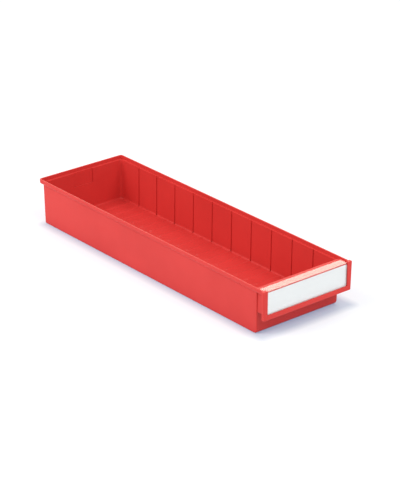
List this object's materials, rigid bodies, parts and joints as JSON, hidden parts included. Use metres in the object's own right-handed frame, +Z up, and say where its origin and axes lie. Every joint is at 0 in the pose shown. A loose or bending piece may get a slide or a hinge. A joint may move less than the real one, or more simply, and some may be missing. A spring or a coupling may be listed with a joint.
{
  "type": "stackable storage bin",
  "caption": "Long, low open-top plastic bin with a stacking rim, divider slots and a front label holder, for holding small parts on shelves.",
  "frame": {"origin": "middle of the underside of the bounding box, on the surface that the bin stands on", "axes": "+X across the width, +Y along the length from the label panel at the front to the back, +Z up"},
  "size_m": [0.1876, 0.6, 0.083],
  "materials": {
    "bin_plastic": "satin",
    "card_paper": "matte",
    "clear_cover": "gloss"
  },
  "bodies": {
    "bin": {"bin_body": "bin_plastic"},
    "cover": {"label_cover": "clear_cover"},
    "card": {"label_card": "card_paper"}
  },
  "joints": [
    {"name": "cover_lift", "type": "slide", "parent": "bin", "child": "cover", "axis": [0, 0, 1], "range_m": [0, 0.045]},
    {"name": "card_lift", "type": "slide", "parent": "bin", "child": "card", "axis": [0, 0, 1], "range_m": [0, 0.045]}
  ],
  "couplings": [
    {"joint": "card_lift", "follows": "cover_lift", "ratio": 1}
  ]
}
